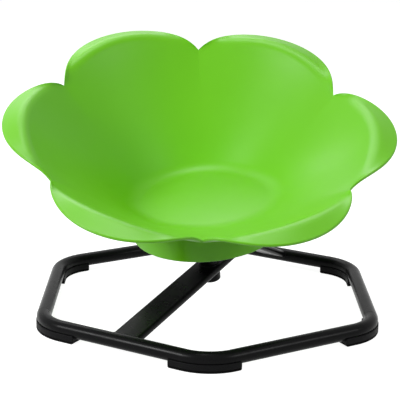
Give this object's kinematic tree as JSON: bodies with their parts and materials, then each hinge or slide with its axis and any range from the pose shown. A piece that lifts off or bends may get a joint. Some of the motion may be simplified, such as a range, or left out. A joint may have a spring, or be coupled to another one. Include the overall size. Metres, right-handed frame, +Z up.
{
  "type": "toddler spinning seat",
  "caption": "Flower-shaped moulded bowl seat that spins freely on a leaning post over a hexagonal steel tube base with curved corner feet.",
  "frame": {"origin": "middle of the hexagonal base, on the floor plane", "axes": "+Z up; -Y towards the hexagon corner at the front, where the seat's low side faces; +X to the right of a viewer who stands in front"},
  "size_m": [0.5111, 0.4972, 0.3482],
  "materials": {
    "powder_coated_steel": "satin black powder coat on steel tube",
    "zinc_plated_steel": "bright zinc plating",
    "bearing_steel": "ground and polished",
    "moulded_shoe_plastic": "moulded, fine matte grain",
    "foot_rubber": "matte moulded rubber",
    "cage_brass": "turned and pressed brass",
    "cast_aluminium": "cast and turned, black coated",
    "moulded_seat_plastic": "injection moulded, satin gloss, leaf green"
  },
  "bodies": {
    "base": {"frame_ring": "powder_coated_steel", "ring_sleeve": "zinc_plated_steel", "crossbar": "powder_coated_steel", "post_socket": "powder_coated_steel", "pivot_post": "powder_coated_steel", "foot_shoe_1": "moulded_shoe_plastic", "foot_shoe_2": "moulded_shoe_plastic", "foot_shoe_3": "moulded_shoe_plastic", "foot_shoe_4": "moulded_shoe_plastic", "foot_shoe_5": "moulded_shoe_plastic", "foot_shoe_6": "moulded_shoe_plastic", "foot_pad_1": "foot_rubber", "foot_pad_2": "foot_rubber", "foot_pad_3": "foot_rubber", "foot_pad_4": "foot_rubber", "foot_pad_5": "foot_rubber", "foot_pad_6": "foot_rubber", "shoe_screws": "zinc_plated_steel", "lower_inner_race": "bearing_steel", "upper_inner_race": "bearing_steel", "race_spacer": "zinc_plated_steel", "clamp_washer": "zinc_plated_steel", "lock_nut": "zinc_plated_steel"},
    "seat": {"seat_shell": "moulded_seat_plastic", "bearing_housing": "cast_aluminium", "lower_outer_race": "bearing_steel", "upper_outer_race": "bearing_steel", "lower_circlip": "zinc_plated_steel", "upper_circlip": "zinc_plated_steel", "dust_cap": "moulded_shoe_plastic", "seat_bolts": "zinc_plated_steel", "seat_washers": "zinc_plated_steel", "seat_inserts": "cage_brass"},
    "ball_cages": {"lower_cage": "cage_brass", "lower_balls": "bearing_steel", "upper_cage": "cage_brass", "upper_balls": "bearing_steel"}
  },
  "joints": [
    {"name": "seat_spin", "type": "hinge", "parent": "base", "child": "seat", "pos_m": [0.00275, 0.00476, 0.05259], "axis": [-0.0855, -0.1482, 0.9853], "continuous": true},
    {"name": "cage_spin", "type": "hinge", "parent": "base", "child": "ball_cages", "pos_m": [0.00275, 0.00476, 0.05259], "axis": [-0.0855, -0.1482, 0.9853], "continuous": true}
  ],
  "couplings": [
    {"joint": "cage_spin", "follows": "seat_spin", "ratio": 0.60242}
  ]
}
